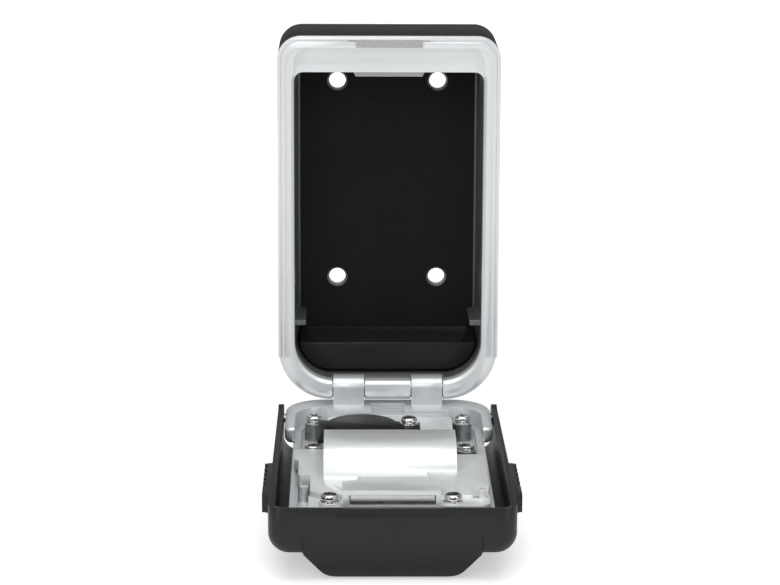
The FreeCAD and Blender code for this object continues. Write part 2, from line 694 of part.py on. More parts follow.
collar_in = collar_half - d.collar_wall
door.cut("XY", -low_wall, -rim + 1.0, rect(
    -collar_in, -d.collar_end - 1.0, collar_in, -d.door_back, (0, 0, back_in, back_in)))
pads_front = -d.pad_long
door.pad("XY", -floor_top, -rim, *both(rect(d.pad_in, pads_front, d.pad_out, -d.door_back + 1.0)))
door.pad("XY", -floor_top, -d.rib_floor, rect(
    -d.pad_in - 0.5, pads_front, d.pad_in + 0.5, -d.door_back + 1.0))
door.cut("XY", -d.rib_floor, -rim + 1.0, rect(-d.pad_in, pads_front, d.pad_in, -d.rib_start))
ribs = []
for k in range(4):
    at = d.rib_first + d.rib_pitch * k
    ribs.append(rect(-d.pad_in, -at - d.rib_wide, d.pad_in, -at))
door.pad("XY", -d.rib_floor, -d.rib_floor + d.rib_high, *ribs)
posts = [(sx, -v) for v in (d.post_v1, d.post_v2) for sx in (d.post_x, -d.post_x)]
door.pad("XY", -floor_top, -d.post_top, *[disc(x, y, d.post_r) for x, y in posts])
door.pad("XY", -floor_top, -d.stub_top, disc(-d.stub_x, -d.stub_v, d.stub_r))
hole_r = d.screw_r + d.screw_fit
door.cut("XY", -floor_top, -d.post_top + 1.0, *[disc(x, y, hole_r) for x, y in posts])
arm_in = d.mid_knuckle + d.knuckle_gap
for low, high in ((arm_in, d.arm_out), (-d.arm_out, -arm_in)):
    door.pad("YZ", low, high, rect(-d.barrel_r, -rim - 2.0, 0.0, 0.0))
    door.pad("YZ", low, high, disc(0.0, 0.0, d.barrel_r))
    door.cut("YZ", low - 1.0, high + 1.0, disc(0.0, 0.0, d.pin_r + d.pin_play))
opening_rear = d.wheel_v - d.wheel_r - d.wheel_gap - 1.0
opening_front = d.wheel_v + d.wheel_r + d.wheel_gap + 1.0
lens_rear = d.lens_v - d.lens_wide / 2
lens_front = d.lens_v + d.lens_wide / 2
lens_hole = rect(-d.lens_half - 0.1, -lens_front - 0.1, d.lens_half + 0.1, -lens_rear + 0.1)
button_hole = disc(0.0, -d.button_v, d.button_r + d.button_gap)
bolt_front = latch_front - d.bolt_set
bolt_rear = bolt_front - d.bolt_long
stem_rear = bolt_rear + 0.1
stem_front = stem_rear + d.stem_long
stem_side = d.stem_half + d.stem_gap
door.cut(
    "XY", -d.door_out - 0.5, -floor_top + 0.1,
    rect(-d.block_half, -opening_front, d.block_half, -opening_rear), lens_hole, button_hole,
    rect(-stem_side, -stem_front - d.travel - d.stem_gap, stem_side, -stem_rear + d.stem_gap))
pin_start = door_half - d.pin_deep
boss_r = d.pivot_r + d.pivot_boss
for low, high in ((pin_start, collar_half), (-collar_half, -pin_start)):
    door.pad("YZ", low, high, disc(-d.pivot_v, -d.pivot_n, boss_r))
for low, high in ((pin_start, collar_half + 1.0), (-collar_half - 1.0, -pin_start)):
    door.cut("YZ", low, high, disc(-d.pivot_v, -d.pivot_n, d.pivot_r + d.screw_fit))
door.node()

# Mechanism housing on the door
mech = Form("mechanism_cover")
mech.pad("YZ", -d.block_left, d.block_right, [
    (-d.block_rear, -floor_top, 0), (-d.block_rear, d.block_top, 0),
    (-d.block_front, d.block_top, d.block_round), (-d.block_front, -floor_top, 0)])
plate_low = d.plate_n + d.plate_thick
space_r = d.wheel_r + d.wheel_gap
mech.pad("XY", -plate_low, -d.plate_n, rect(
    -d.pad_out, -d.block_rear - 0.5, d.pad_out + d.plate_step, -d.pad_long - 0.2, (0, 0, 2, 2)))
lid_screw_y = -d.cell_v - 1.0
lid_hole = disc(d.lid_screw_x, lid_screw_y, hole_r)
mech.cut("XY", -plate_low - 0.5, -d.plate_n + 0.5,
         disc(-d.cell_x, -d.cell_v, d.cell_r + 0.4), lid_hole)
block_side = -d.block_left + 0.5
mech.pad("XY", -d.under_n, -d.wing_n, [
    (-d.wing_out, -d.wing_rear, 1), (block_side, -d.wing_rear, 0), (block_side, -d.wing_front, 0),
    (-d.wing_in, -d.wing_front, 1), (-d.wing_in, -d.wing_step - 1.5, 0), (-d.wing_out, -d.wing_step, 0)])
right_side = d.block_right - 0.5
mech.pad("XY", -d.under_n, -d.right_n, [
    (right_side, -d.right_rear, 0), (d.right_out, -d.right_rear, 1), (d.right_out, -d.right_front, 1),
    (d.right_in, -d.right_front, 0), (d.right_in, -d.right_start, 0), (right_side, -d.right_start, 0)])
middle_out = d.latch_left - 0.5
mech.pad("XY", -d.under_n, -d.wing_n, [
    (-d.low_left, -d.wing_front + 2.0, 0), (-d.low_left, -d.low_corner, 0), (-d.low_slope, -d.low_front, 0),
    (-middle_out, -d.low_front, 0), (-middle_out, -latch_rear - 0.5, 0),
    (d.right_in + 0.5, -latch_rear - 0.5, 0), (d.right_in + 0.5, -d.block_front + 1.0, 0),
    (block_side, -d.block_front + 1.0, 0),
    (block_side, -d.wing_front + 2.0, 0)])
mech.pad("XY", -d.under_n, -d.latch_top, [
    (-d.latch_left, -latch_turn, 0), (-d.latch_narrow - 0.2, -latch_turn + 0.5, 0),
    (-d.latch_narrow + 0.2, -latch_rear, 0), (d.latch_narrow, -latch_rear, 0),
    (d.latch_narrow + 0.7, -latch_turn, 0), (d.latch_right, -latch_turn, 0),
    (d.latch_right, -latch_front, 0), (-d.latch_left, -latch_front, 0)])
mech.pad("XY", -d.under_n, -d.ledge_n, rect(
    d.latch_right - 0.5, -latch_front + 0.5, d.right_out, -d.ledge_rear, (0, 4, 0, 0)))
mech.pad("XY", -d.under_n, -d.rough_n, rect(
    -d.rough_left, -latch_front + 0.5, -d.latch_left + 0.5, -d.rough_rear, (2, 0, 0, 0)))
mech.cut("YZ", -d.block_half, d.block_half, disc(-d.wheel_v, -d.wheel_n, space_r))
mech.cut("YZ", -d.block_half, d.block_half, rect(
    -d.wheel_v - space_r, -floor_top - 1.0, -d.block_rear + 0.5, -plate_low))
bolt_side = d.bolt_half + d.bolt_side
mech.cut("XY", -d.under_n - 0.5, -bolt_top + d.bolt_play, rect(
    -bolt_side, -latch_front + d.window_lip - 0.5, bolt_side, -bolt_rear + 0.6))
mech.cut("XY", -d.window_low, -bolt_top + d.bolt_play, rect(
    -bolt_side, -latch_front - 0.5, bolt_side, -latch_front + d.window_lip))
front_y = -latch_front + d.front_v
front_screw = ((-d.front_left, front_y), (d.front_right, front_y))
mech.pad("XY", -floor_top, -d.ledge_n, *[disc(x, y, d.front_boss) for x, y in front_screw])
mech.cut("XY", -floor_top, -d.ledge_n + 1.0, *[disc(x, y, hole_r) for x, y in front_screw])
mech.cut("YZ", -d.axle_half - 0.1, d.block_right + 0.5, disc(-d.wheel_v, -d.wheel_n, d.axle_r + d.screw_fit))
reset_out = d.reset_x + d.reset_wide
reset_rear = d.right_front + 0.5
reset_front = reset_rear + d.reset_wide
mech.cut("XY", -d.under_n - 0.5, -d.ledge_n + 0.5, rect(
    d.reset_x - d.reset_travel - 0.3, -reset_front - 0.2, reset_out + 0.2, -reset_rear + 0.2))
mech.node()

finish_node(rod("X", -d.axle_half, -d.wheel_v, -d.wheel_n, d.axle_r, d.axle_half * 2), "wheel_axle")

bezel = Form("dial_bezel")
bezel_low = d.door_out + d.bezel_thick
bezel.pad("XY", -bezel_low, -d.door_out, rect(
    -d.bezel_half, -d.bezel_front, d.bezel_half, -d.bezel_rear, (d.bezel_corner,) * 4))
windows = []
for i in range(4):
    start = d.wheel_pitch * (i - 2) + 0.1
    windows.append(rect(
        start, -d.wheel_v - d.window_half, start + d.wheel_wide + 0.3, -d.wheel_v + d.window_half))
bezel.cut("XY", -bezel_low - 0.5, -d.door_out + 0.5, lens_hole, button_hole, *windows)
bezel.node()

bore = d.axle_r + d.axle_play
for i in range(4):
    start = d.wheel_pitch * (i - 2) + 0.25
    wheel = Form("number_wheel_%d" % (i + 1))
    wheel.pad("YZ", start, start + d.wheel_wide, disc(-d.wheel_v, -d.wheel_n, d.wheel_r))
    dents = []
    for k in range(10):
        turn = math.radians(36 * k + 18)
        reach = d.wheel_r + d.dent_r / 2
        dents.append(disc(reach * math.cos(turn) - d.wheel_v, reach * math.sin(turn) - d.wheel_n, d.dent_r))
    wheel.cut("YZ", start - 0.5, start + d.wheel_wide + 0.5, disc(-d.wheel_v, -d.wheel_n, bore))
    wheel.cut("YZ", start + d.dent_rim, start + d.wheel_wide - d.dent_rim, *dents)
    wheel.node()
    cam_start = start + d.wheel_wide
    cam = Form("code_cam_%d" % (i + 1))
    cam.pad("YZ", cam_start, cam_start + d.cam_wide, disc(-d.wheel_v, -d.wheel_n, d.cam_r))
    cam.cut("YZ", cam_start - 0.5, cam_start + d.cam_wide + 0.5, disc(-d.wheel_v, -d.wheel_n, bore))
    cam_edge = -d.wheel_v - d.cam_r
    cam.cut("YZ", cam_start - 0.5, cam_start + d.cam_wide + 0.5, rect(
        cam_edge - 1.0, -d.wheel_n - d.cam_notch, cam_edge + 1.8, -d.wheel_n + d.cam_notch))
    cam.node()

spring = Form("detent_spring")
spring_low = plate_low + d.clip_thick
finger_end = d.wheel_v - space_r
spring.pad("XY", -spring_low, -plate_low, rect(
    -d.block_half + 0.4, -d.block_rear + 5.0, d.block_half - 0.4, -d.lens_v + 4.0))
for i in range(4):
    start = d.wheel_pitch * (i - 2) + 1.1
    spring.pad("XY", -spring_low, -plate_low, rect(start, -finger_end, start + 3.6, -d.block_rear + 6.0))
spring.node()

# Latch
bolt = join(
    door_box(-d.bolt_half, d.bolt_half, bolt_rear, bolt_front, -d.bolt_low, -bolt_top),
    door_box(-d.stem_half, d.stem_half, stem_rear, stem_front,
             -d.door_out - d.slide_gap, -d.bolt_low + 0.5))
finish_node(bolt, "latch_bolt")
lever = Form("release_lever")
lever_top = d.door_out + d.slide_gap
lever_low = lever_top + d.lever_thick
lever_y = -stem_front - 0.5
lever.pad("XY", -lever_low, -lever_top, rect(
    -d.lever_half, lever_y, d.lever_half, lever_y + d.lever_long, (2, 2, 4, 4)))
lever.pad("XY", -lever_low - d.lever_grip, -lever_low, rect(
    -d.lever_half + 1.0, lever_y + 1.0, d.lever_half - 1.0, lever_y + 3.5))
lever.node()

# Battery
cell_low = floor_top - d.cell_up
finish_node(rod("Z", -d.cell_x, -d.cell_v, -cell_low, d.cell_r, d.cell_high), "coin_cell")
clip_left = -d.cell_x - d.clip_half
clip_right = -d.cell_x + d.clip_half
clip_rear = d.cell_v - d.clip_deep / 2
clip_front = d.cell_v + d.clip_deep / 2
clip = join(
    door_box(clip_left, clip_right, clip_rear, clip_front, -floor_top, -floor_top + d.clip_thick),
    door_box(clip_left, clip_right, clip_rear, clip_front, -cell_low - d.clip_thick, -cell_low),
    door_box(clip_left, clip_left + d.clip_thick, clip_rear, clip_front, -floor_top, -cell_low))
finish_node(clip, "battery_clip")
lid = Form("battery_cover")
lid_top = d.plate_n - d.lid_thick
foot_rear = d.lid_tab_rear + 1.8
lid.pad("XY", -d.plate_n, -lid_top, disc(-d.cell_x, -d.cell_v, d.lid_r))
lid.pad("XY", -d.plate_n, -lid_top, [
    (0.0, -d.lid_tab_rear, 0), (1.5, -d.lid_tab_rear - 0.5, 0), (4.0, -foot_rear, 1),
    (d.foot_out, -foot_rear, 1), (d.foot_out, -foot_rear - 7.5, 1), (-4.0, -foot_rear - 8.5, 0)])
lid.pad("XY", -d.plate_n, -lid_top, [
    (-14.0, -d.lid_tab_rear, 0), (-14.0, -foot_rear - 6.0, 0), (-19.9, -foot_rear - 6.0, 0),
    (-19.9, -d.lid_tab_end, 0), (-d.lid_tab_out, -d.lid_tab_end, 0.8),
    (-d.lid_tab_out, -d.lid_tab_rear, 0.8)])
lid.pad("XY", -d.plate_n - d.lid_deep, -d.plate_n, disc(-d.cell_x, -d.cell_v, d.cell_r))
lid.cut("XY", -d.plate_n - 1.0, -lid_top + 1.0, lid_hole)
lid.node()


def screw(x, y, seat, high):
    """Pan head screw standing on a seat that faces up."""
    return join(
        rod("Z", x, y, seat - d.screw_long, d.screw_r, d.screw_long + 0.2),
        rod("Z", x, y, seat, d.head_r, high))


finish_node(screw(d.lid_screw_x, lid_screw_y, -lid_top, d.head_high), "battery_cover_screw")
post_heads = (d.head_high, d.head_high, d.low_head, d.low_head)
finish_node(bundle(*[
    screw(x, y, -d.post_top, high) for (x, y), high in zip(posts, post_heads)]), "post_screws")
finish_node(bundle(*[screw(x, y, -d.ledge_n, d.head_high) for x, y in front_screw]), "front_screws")

# Light
board_rear = d.lens_v - d.board_wide / 2
board_front = d.lens_v + d.board_wide / 2
board = door_box(-d.board_half, d.board_half, board_rear, board_front, -floor_top, -floor_top + d.board_thick)
finish_node(board, "light_board")
finish_node(door_box(
    -d.lens_half, d.lens_half, lens_rear, lens_front, -bezel_low - d.lens_out, -floor_top), "light_lens")
button_low = bezel_low + d.button_out
button = join(
    rod("Z", 0.0, -d.button_v, -button_low, d.button_r, button_low - floor_top + 0.4),
    rod("Z", 0.0, -d.button_v, -floor_top, d.button_r + 1.0, 0.8))
finish_node(button, "light_button")

# Reset slide
finish_node(door_box(
    d.reset_x, reset_out, reset_rear, reset_front, -d.under_n - 0.5, -d.right_n), "reset_lever")


# Weather cover
def cover_form(name, inset, over):
    """The cover's outer form, or the space inside it."""
    made = Form(name)
    side = half - inset
    wide_side = side + d.cover_flare
    end = cover_front - inset
    rear_y = -d.cover_rear + over
    made.pad("XY", -d.cover_out + inset, -cover_top + over, [
        (-wide_side, -end, d.cover_nose - inset), (wide_side, -end, d.cover_nose - inset),
        (side, rear_y, 0), (-side, rear_y, 0)])
    level = size(-d.cover_out + inset).value
    rear = size(rear_y).value

    def lower_edge(edge):
        low = all(abs(v.Z - level) < 1e-4 for v in edge.Vertexes)
        return low and not all(abs(v.Y - rear) < 1e-4 for v in edge.Vertexes)
    made.fillet(lower_edge, d.cover_round - inset)
    crease = -d.bulge_start - inset
    wide = d.bulge_half - inset
    foot = d.bulge_foot - inset
    flat = d.bulge_flat - inset * 0.6
    deep = d.bulge_low - inset
    turn = d.bulge_round - inset
    panel = -d.cover_out + inset
    made.pad("XZ", -end + 0.01, -d.bulge_rear - inset, [
        (-wide, crease, 0), (-foot, panel, 0), (-flat, -deep, turn),
        (flat, -deep, turn), (foot, panel, 0), (wide, crease, 0)])
    if over.value == 0:
        made.pad("XZ", -end + d.bulge_slope, -d.bulge_rear - d.bulge_slope, *both([
            (flat, panel + 1.0, 0), (d.blend_out, panel + 1.0, 0), (d.blend_out, panel, 0),
            (foot, panel, d.bulge_blend), (foot * 0.7 + flat * 0.3, panel * 0.7 - deep * 0.3, 0),
            (flat, panel * 0.7 - deep * 0.3, 0)]))
    made.cut("YZ", -wide, wide, [
        (-end - 1.0, crease, 0), (-end, crease, 0), (-end + d.bulge_slope, -deep, turn),
        (-end + d.bulge_slope + 12.0, -deep - 1.0, 0), (-end - 1.0, -deep - 1.0, 0)])
    rear_foot = -d.bulge_rear - inset
    made.cut("YZ", -side - 1.0, side + 1.0, [
        (rear_foot + 1.0, panel, 0), (rear_foot, panel, 0), (rear_foot - d.bulge_slope, -deep, d.bulge_end),
        (rear_foot - d.bulge_slope - 12.0, -deep - 1.0, 0), (rear_foot + 1.0, -deep - 1.0, 0)])
    return made


shell = cover_form("cover_shell", size(0.0), size(0.0))
hollow = cover_form("cover_hollow", d.cover_wall, size(1.0))
arm_inner = half - d.cover_wall
arms = []
for x in (arm_inner, -half):
    bar = box(x, x + d.cover_wall, -d.cover_rear - 2.0, -d.pivot_v, -d.pivot_n - d.arm_r, -cover_top)
    end = rod("X", x, -d.pivot_v, -d.pivot_n, d.arm_r, d.cover_wall)
    arms += [bar, end]
grips = []
grip_face = half + d.cover_flare + d.grip_out
for side in (1, -1):
    pads = [(d.grip_rear, d.grip_end, grip_face), (d.grip_block, d.grip_end - 0.5, grip_face + d.grip_rib)]
    for k in range(5):
        rib = d.grip_rear + 0.5 + d.grip_pitch * k
        pads.append((rib, rib + d.grip_wide, grip_face + d.grip_rib))
    for rear, front, out in pads:
        low, high = (half - 0.5, out) if side > 0 else (-out, -half + 0.5)
        grips.append(door_box(low, high, rear, front, -d.grip_low, -cover_top - 0.1))
shell_all = join(shell.body, *(arms + grips))
bores = [rod("X", x, -d.pivot_v, -d.pivot_n, d.pivot_r + d.axle_play, d.cover_wall + 1.0)
         for x in (arm_inner - 0.5, -half - 0.5)]
recess = door_box(-d.recess_half, d.recess_half, cover_front - d.recess_deep, cover_front + 0.5,
                  -d.recess_low, -cover_top + 0.5)
finish_node(minus(shell_all, hollow.body, recess, *bores), "weather_cover")
pin_long = half - pin_start - 0.2
finish_node(bundle(
    rod("X", pin_start + 0.1, -d.pivot_v, -d.pivot_n, d.pivot_r, pin_long),
    rod("X", -pin_start - 0.1 - pin_long, -d.pivot_v, -d.pivot_n, d.pivot_r, pin_long)), "cover_pins")

DOC.recompute()

for thing in DOC.Objects:
    if "Invalid" in thing.State or "Error" in thing.State:
        raise RuntimeError("%s did not compute" % thing.Name)

os.makedirs("parts", exist_ok=True)
for label, thing in NODES.items():
    shape = thing.Shape
    if shape.isNull() or not shape.isValid() or not shape.Solids:
        raise RuntimeError("%s has no valid shape" % label)
    shape.exportStep("parts/%s.step" % label)
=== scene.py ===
import json
import math
import bpy
from mathutils import Matrix, Vector


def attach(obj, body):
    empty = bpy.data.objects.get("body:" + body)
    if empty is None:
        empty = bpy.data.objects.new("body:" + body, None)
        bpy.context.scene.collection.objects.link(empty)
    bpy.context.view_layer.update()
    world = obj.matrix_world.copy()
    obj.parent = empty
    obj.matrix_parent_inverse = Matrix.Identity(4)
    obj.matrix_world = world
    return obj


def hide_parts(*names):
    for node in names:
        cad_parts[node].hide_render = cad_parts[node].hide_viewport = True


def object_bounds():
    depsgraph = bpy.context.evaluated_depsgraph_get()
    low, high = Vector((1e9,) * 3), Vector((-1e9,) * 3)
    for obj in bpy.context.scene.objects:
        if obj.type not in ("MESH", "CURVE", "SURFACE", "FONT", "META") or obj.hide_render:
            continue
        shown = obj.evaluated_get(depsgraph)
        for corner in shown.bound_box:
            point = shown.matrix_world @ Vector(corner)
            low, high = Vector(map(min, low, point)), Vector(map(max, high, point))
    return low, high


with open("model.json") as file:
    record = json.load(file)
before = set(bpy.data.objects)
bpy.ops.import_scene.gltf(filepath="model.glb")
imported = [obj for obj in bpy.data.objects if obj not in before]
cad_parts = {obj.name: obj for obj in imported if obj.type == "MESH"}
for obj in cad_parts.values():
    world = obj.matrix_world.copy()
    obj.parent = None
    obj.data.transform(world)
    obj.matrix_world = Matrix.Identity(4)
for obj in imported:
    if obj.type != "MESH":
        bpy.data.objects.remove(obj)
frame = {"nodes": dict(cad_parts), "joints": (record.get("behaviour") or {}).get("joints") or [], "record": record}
cad_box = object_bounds()
bpy.ops.object.select_all(action="DESELECT")
scene = bpy.context.scene
NODES = frame["nodes"]
MM = 0.001

# Places taken from the frame
HINGE = Vector(frame["joints"][0]["pos_m"])
FLOOR_Z = cad_box[0][2]


def door_point(x, v, n):
    """Point given in millimetres across, along and above the open door."""
    return HINGE + Vector((x, -v, n)) * MM


# Node groups
def new_group(name, inputs, outputs):
    group = bpy.data.node_groups.new(name, "ShaderNodeTree")
    for label, kind, value in inputs:
        socket = group.interface.new_socket(label, in_out="INPUT", socket_type=kind)
        socket.default_value = value
    for label, kind in outputs:
        group.interface.new_socket(label, in_out="OUTPUT", socket_type=kind)
    entry = group.nodes.new("NodeGroupInput")
    leave = group.nodes.new("NodeGroupOutput")
    return group, entry, leave


def node(tree, kind, **values):
    made = tree.nodes.new(kind)
    for name, value in values.items():
        if hasattr(made, name):
            setattr(made, name, value)
        else:
            made.inputs[name.replace("_", " ")].default_value = value
    return made


def wire(tree, source, target):
    tree.links.new(source, target)


def noise(tree, coords, scale, detail=4.0, roughness=0.6):
    made = node(tree, "ShaderNodeTexNoise")
    made.inputs["Scale"].default_value = scale
    made.inputs["Detail"].default_value = detail
    made.inputs["Roughness"].default_value = roughness
    wire(tree, coords, made.inputs["Vector"])
    return made.outputs["Fac"]


def band(tree, value, low, high, start=0.0, end=1.0):
    made = node(tree, "ShaderNodeMapRange")
    made.inputs["From Min"].default_value = low
    made.inputs["From Max"].default_value = high
    made.inputs["To Min"].default_value = start
    made.inputs["To Max"].default_value = end
    wire(tree, value, made.inputs["Value"])
    return made.outputs["Result"]


def math_node(tree, kind, first, second):
    made = node(tree, "ShaderNodeMath", operation=kind)
    for place, value in enumerate((first, second)):
        if isinstance(value, (int, float)):
            made.inputs[place].default_value = value
        else:
            wire(tree, value, made.inputs[place])
    return made.outputs[0]


def mix_colour(tree, amount, first, second):
    made = node(tree, "ShaderNodeMix", data_type="RGBA")
    for place, value in ((0, amount), (6, first), (7, second)):
        socket = made.inputs[place]
        if isinstance(value, (tuple, float)):
            socket.default_value = value
        else:
            wire(tree, value, socket)
    return made.outputs[2]


def surface_grain():
    """Fine grain with slow tone changes, for cast and moulded faces."""
    group, entry, leave = new_group(
        "surface_grain",
        [("Vector", "NodeSocketVector", (0, 0, 0)), ("Grain Scale", "NodeSocketFloat", 2500.0),
         ("Cloud Scale", "NodeSocketFloat", 60.0), ("Tone", "NodeSocketFloat", 0.1)],
        [("Height", "NodeSocketFloat"), ("Tone", "NodeSocketFloat"), ("Grain", "NodeSocketFloat")])
    vector = entry.outputs["Vector"]
    fine = noise(group, vector, 2500.0, 2.0)
    wire(group, entry.outputs["Grain Scale"], fine.node.inputs["Scale"])
    coarse = noise(group, vector, 400.0, 3.0)
    cloud = noise(group, vector, 60.0, 4.0)
    wire(group, entry.outputs["Cloud Scale"], cloud.node.inputs["Scale"])
    height = math_node(group, "ADD", math_node(group, "MULTIPLY", fine, 0.6),
                       math_node(group, "MULTIPLY", coarse, 0.4))
    wire(group, height, leave.inputs["Height"])
    centred = math_node(group, "SUBTRACT", cloud, 0.5)
    tone = math_node(group, "ADD", math_node(group, "MULTIPLY", centred, entry.outputs["Tone"]), 1.0)
    wire(group, tone, leave.inputs["Tone"])
    wire(group, fine, leave.inputs["Grain"])
    return group


def edge_wear():
    """Mask of convex edges, broken up by noise."""
    group, entry, leave = new_group(
        "edge_wear",
        [("Vector", "NodeSocketVector", (0, 0, 0)), ("Radius", "NodeSocketFloat", 0.0004),
         ("Amount", "NodeSocketFloat", 0.5)],
        [("Mask", "NodeSocketFloat")])
    bevel = node(group, "ShaderNodeBevel", samples=6)
    wire(group, entry.outputs["Radius"], bevel.inputs["Radius"])
    geometry = node(group, "ShaderNodeNewGeometry")
    dot = node(group, "ShaderNodeVectorMath", operation="DOT_PRODUCT")
    wire(group, bevel.outputs[0], dot.inputs[0])
    wire(group, geometry.outputs["Normal"], dot.inputs[1])
    bend = band(group, dot.outputs["Value"], 0.995, 0.90)
    broken = band(group, noise(group, entry.outputs["Vector"], 350.0, 5.0), 0.42, 0.62)
    patchy = math_node(group, "MULTIPLY", bend, broken)
    mask = math_node(group, "MULTIPLY", patchy, entry.outputs["Amount"])
    wire(group, mask, leave.inputs["Mask"])
    return group


GRAIN = surface_grain()
WEAR = edge_wear()


def use_group(tree, group, coords, **values):
    made = tree.nodes.new("ShaderNodeGroup")
    made.node_tree = group
    wire(tree, coords, made.inputs["Vector"])
    for name, value in values.items():
        made.inputs[name.replace("_", " ")].default_value = value
    return made.outputs


def inside_case(tree, coords):
    """Mask of the cavity walls, floor and roof, where the casting's colour is darkened as painted shade."""
    split = node(tree, "ShaderNodeSeparateXYZ")
    wire(tree, coords, split.inputs[0])
    deep = band(tree, split.outputs["Y"], -0.0352, -0.0325)
    before_back = band(tree, split.outputs["Y"], -0.0027, -0.0022, 1.0, 0.0)
    within = band(tree, math_node(tree, "ABSOLUTE", split.outputs["X"], 0.0), 0.0310, 0.0315, 1.0, 0.0)
    above = band(tree, split.outputs["Z"], -0.0606, -0.0600)
    below = band(tree, split.outputs["Z"], 0.0488, 0.0492, 1.0, 0.0)
    mask = deep
    for other in (before_back, within, above, below):
        mask = math_node(tree, "MULTIPLY", mask, other)
    return mask


def finish(name, colour, roughness, metallic=0.0, grain=2500.0, bump=0.05, tone=0.12, cloud=60.0,
           wear=0.0, worn=(0.6, 0.6, 0.6, 1.0), spread=0.06, coat=0.0, stretch=(1, 1, 1), specular=0.5,
           recess=None):
    """Painted, moulded or plated finish with grain, tone changes, uneven gloss and worn edges, and, where a recess
    colour is given, painted shade on the case's cavity walls.
    """
    made = bpy.data.materials.new(name)
    made.use_nodes = True
    tree = made.node_tree
    shader = tree.nodes["Principled BSDF"]
    shader.inputs["Metallic"].default_value = metallic
    shader.inputs["Specular IOR Level"].default_value = specular
    shader.inputs["Coat Weight"].default_value = coat
    shader.inputs["Coat Roughness"].default_value = 0.15
    place = node(tree, "ShaderNodeMapping")
    place.inputs["Scale"].default_value = stretch
    wire(tree, node(tree, "ShaderNodeTexCoord").outputs["Object"], place.inputs["Vector"])
    coords = place.outputs["Vector"]
    grained = use_group(tree, GRAIN, coords, Grain_Scale=grain, Cloud_Scale=cloud, Tone=tone)
    shade = node(tree, "ShaderNodeHueSaturation")
    shade.inputs["Color"].default_value = colour + (1.0,)
    wire(tree, grained["Tone"], shade.inputs["Value"])
    base = shade.outputs[0]
    # The recess colour is painted shade: it darkens the cavity walls, floor and roof inside the case, where the
    # real casting lies in shade.
    if recess:
        base = mix_colour(tree, inside_case(tree, coords), base, recess)
    if wear:
        mask = use_group(tree, WEAR, coords, Amount=wear)["Mask"]
        base = mix_colour(tree, mask, base, worn)
    wire(tree, base, shader.inputs["Base Color"])
    gloss = band(tree, grained["Grain"], 0.3, 0.7, roughness - spread, roughness + spread)
    wire(tree, gloss, shader.inputs["Roughness"])
    relief = node(tree, "ShaderNodeBump")
    relief.inputs["Strength"].default_value = 1.0
    relief.inputs["Distance"].default_value = bump * MM
    wire(tree, grained["Height"], relief.inputs["Height"])
    wire(tree, relief.outputs[0], shader.inputs["Normal"])
    return made


# The recess colour here is painted shade for the inside of the case's cavity, not a different colour of the
# casting.
CAST = finish("cast_silver", (0.80, 0.82, 0.83), 0.36, metallic=0.55, grain=1400, bump=0.045, tone=0.10,
              wear=0.35, worn=(0.92, 0.92, 0.93, 1), coat=0.1, recess=(0.16, 0.165, 0.17, 1))
CAST_DOOR = finish("cast_silver_door", (0.66, 0.69, 0.70), 0.38, metallic=0.6, grain=1100, bump=0.06,
                   tone=0.16, wear=0.4, worn=(0.9, 0.9, 0.91, 1))
CAST_INNER = finish("cast_silver_inner", (0.80, 0.82, 0.825), 0.36, metallic=0.5, grain=1300, bump=0.05,
                    tone=0.10, wear=0.4, worn=(0.95, 0.95, 0.95, 1), coat=0.1)
JACKET = finish("jacket_black", (0.008, 0.008, 0.009), 0.5, specular=0.3, grain=900, bump=0.05,
                tone=0.3, wear=0.25, worn=(0.05, 0.05, 0.05, 1))
COVER = finish("cover_black", (0.009, 0.010, 0.011), 0.36, specular=0.4, grain=1500, bump=0.03,
               tone=0.3, wear=0.3, worn=(0.06, 0.06, 0.06, 1))
TRAY = finish("tray_black", (0.009, 0.009, 0.010), 0.42, specular=0.3, grain=1200, bump=0.03,
              tone=0.3, wear=0.3, worn=(0.05, 0.05, 0.05, 1))
LINER = finish("liner_black", (0.009, 0.009, 0.0095), 0.7, specular=0.2, grain=700, bump=0.08, tone=0.4)
STEEL = finish("plain_steel", (0.6, 0.6, 0.6), 0.28, metallic=1.0, grain=800, bump=0.01, tone=0.15,
               stretch=(1, 1, 12))
SPRING = finish("spring_steel", (0.66, 0.65, 0.63), 0.25, metallic=1.0, grain=900, bump=0.008, tone=0.1)
NICKEL = finish("screw_nickel", (0.75, 0.75, 0.74), 0.16, metallic=1.0, grain=1500, bump=0.008, tone=0.1,
                spread=0.05)
BOLT = finish("bolt_plate", (0.82, 0.82, 0.81), 0.34, metallic=0.55, grain=1200, bump=0.012, tone=0.12)
BRASS = finish("cam_brass", (0.72, 0.55, 0.28), 0.3, metallic=1.0, grain=1500, bump=0.01, tone=0.15)
BOARD = finish("board_green", (0.03, 0.17, 0.07), 0.3, grain=1200, bump=0.01, tone=0.2, coat=0.5)
BEZEL = finish("bezel_black", (0.03, 0.03, 0.031), 0.45, grain=1400, bump=0.02, tone=0.3, wear=0.3,
               worn=(0.06, 0.06, 0.06, 1))
BUTTON = finish("button_rubber", (0.035, 0.035, 0.036), 0.75, grain=900, bump=0.03, tone=0.3)
WHEEL = finish("wheel_black", (0.025, 0.025, 0.026), 0.35, grain=1500, bump=0.01, tone=0.2)
CELL = finish("cell_steel", (0.72, 0.72, 0.72), 0.2, metallic=1.0, grain=1800, bump=0.005, tone=0.1)


def clear_lens():
    made = finish("lens_clear", (0.86, 0.9, 0.92), 0.12, grain=600, bump=0.004, tone=0.04, spread=0.04)
    made.node_tree.nodes["Principled BSDF"].inputs["Transmission Weight"].default_value = 0.85
    return made


LENS = clear_lens()

